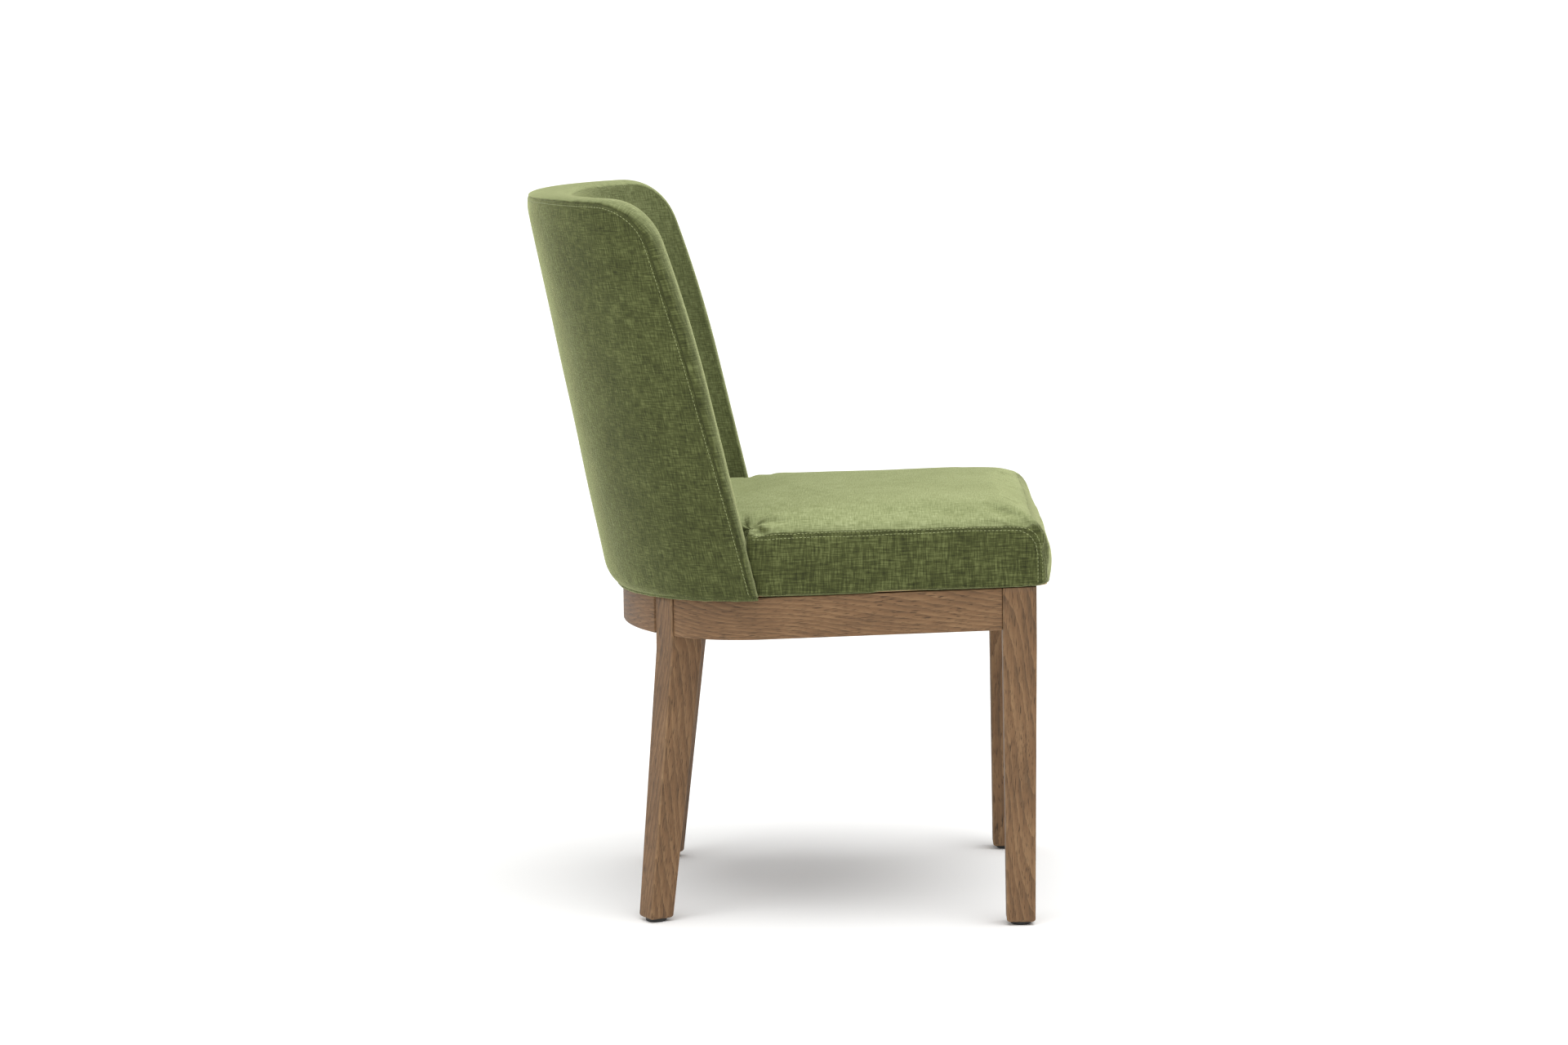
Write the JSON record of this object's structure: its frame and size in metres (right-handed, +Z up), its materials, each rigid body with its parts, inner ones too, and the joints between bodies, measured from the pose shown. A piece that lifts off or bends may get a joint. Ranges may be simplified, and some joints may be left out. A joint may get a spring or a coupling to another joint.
{
  "type": "dining chair",
  "caption": "Upholstered dining chair: low tub back wrapped into wings, domed seat cushion, square tapered timber legs and bent side rails.",
  "frame": {"origin": "middle of the chair's bounding box in plan, on the floor under the glides", "axes": "+Z up, the front of the seat faces -Y, +X is the right-hand side as seen by someone standing in front of the chair"},
  "size_m": [0.5154, 0.6287, 0.864],
  "materials": {
    "oiled_timber": "oiled, weathered brown",
    "block_timber": "sawn and planed, unfinished",
    "plywood": "unfinished",
    "green_fabric": "slubby woven chenille, moss green",
    "foam": "open-cell",
    "wadding": "matted fibre",
    "dust_cloth": "spun-bonded",
    "bracket_steel": "rolled",
    "zinc_steel": "zinc plated",
    "glide_plastic": "satin"
  },
  "bodies": {
    "root": {"back_bracket_bolts": "zinc_steel", "back_bracket_centre": "bracket_steel", "back_bracket_left": "bracket_steel", "back_bracket_right": "bracket_steel", "back_bracket_wing_left": "bracket_steel", "back_bracket_wing_right": "bracket_steel", "back_cover_inner": "green_fabric", "back_cover_outer": "green_fabric", "back_edge_band": "green_fabric", "back_foam_inner": "foam", "back_shell": "plywood", "back_tee_nuts": "zinc_steel", "back_wadding_outer": "wadding", "bracket_board_screws": "zinc_steel", "corner_block_front_left": "block_timber", "corner_block_front_right": "block_timber", "corner_block_rear_left": "block_timber", "corner_block_rear_right": "block_timber", "corner_block_screws": "zinc_steel", "dust_cover_staples": "zinc_steel", "front_leg_left": "oiled_timber", "front_leg_right": "oiled_timber", "front_rail": "oiled_timber", "glide_front_left": "glide_plastic", "glide_front_right": "glide_plastic", "glide_nails": "zinc_steel", "glide_rear_left": "glide_plastic", "glide_rear_right": "glide_plastic", "leg_bolts": "zinc_steel", "leg_nuts": "zinc_steel", "leg_washers": "zinc_steel", "rail_dowels": "block_timber", "rear_leg_left": "oiled_timber", "rear_leg_right": "oiled_timber", "rear_rail": "oiled_timber", "seat_board": "plywood", "seat_cover_top": "green_fabric", "seat_dust_cover": "dust_cloth", "seat_foam": "foam", "seat_screws": "zinc_steel", "seat_side_panel_left": "green_fabric", "seat_side_panel_right": "green_fabric", "side_rail_left": "oiled_timber", "side_rail_right": "oiled_timber"}
  },
  "joints": []
}
